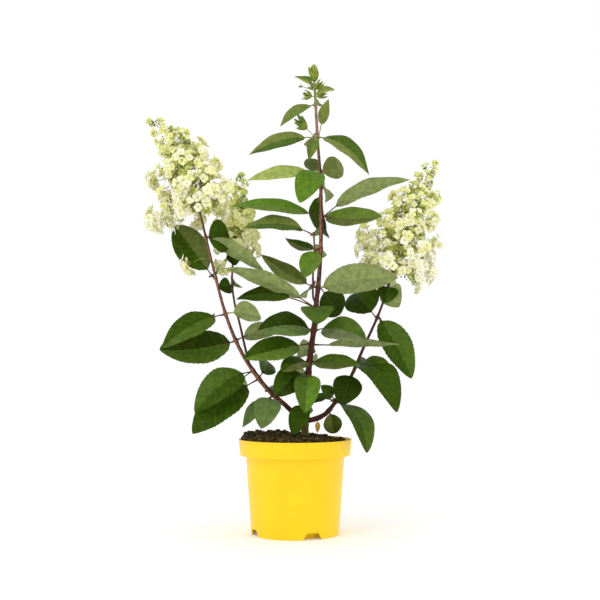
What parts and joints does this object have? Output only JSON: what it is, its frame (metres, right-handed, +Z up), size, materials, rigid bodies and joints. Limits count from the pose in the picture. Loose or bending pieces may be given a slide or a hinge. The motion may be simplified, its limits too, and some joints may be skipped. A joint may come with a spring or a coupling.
{
  "type": "potted panicle hydrangea",
  "caption": "Panicle hydrangea with upright woody shoots, opposite leaves and cream flower cones, growing in a round plastic nursery pot.",
  "frame": {"origin": "centre of the pot's flat underside, on the surface that it stands on", "axes": "+Z up along the pot's axis, +X to the right and +Y to the back as the picture shows it"},
  "size_m": [0.4939, 0.2264, 0.79],
  "materials": {
    "pot_plastic": "satin",
    "earth": "rough",
    "bark": "matte",
    "leaf": "matte",
    "blossom": "matte",
    "bud": "matte",
    "dead_leaf": "dry"
  },
  "bodies": {
    "root": {"bud_tip": "bud", "leaf_withered": "dead_leaf", "leaves_centre_1": "leaf", "leaves_centre_10": "leaf", "leaves_centre_11": "leaf", "leaves_centre_12": "leaf", "leaves_centre_13": "leaf", "leaves_centre_2": "leaf", "leaves_centre_3": "leaf", "leaves_centre_4": "leaf", "leaves_centre_5": "leaf", "leaves_centre_6": "leaf", "leaves_centre_7": "leaf", "leaves_centre_8": "leaf", "leaves_centre_9": "leaf", "leaves_inner_1": "leaf", "leaves_inner_2": "leaf", "leaves_left_1": "leaf", "leaves_left_2": "leaf", "leaves_left_3": "leaf", "leaves_left_4": "leaf", "leaves_left_5": "leaf", "leaves_left_6": "leaf", "leaves_left_7": "leaf", "leaves_right_1": "leaf", "leaves_right_2": "leaf", "leaves_right_3": "leaf", "leaves_right_4": "leaf", "leaves_right_5": "leaf", "leaves_side_1": "leaf", "panicle_inner": "blossom", "panicle_left": "blossom", "panicle_right": "blossom", "pot": "pot_plastic", "soil": "earth", "stem_centre": "bark", "stem_left": "bark", "stem_left_inner": "bark", "stem_right": "bark", "stem_side": "bark"}
  },
  "joints": []
}
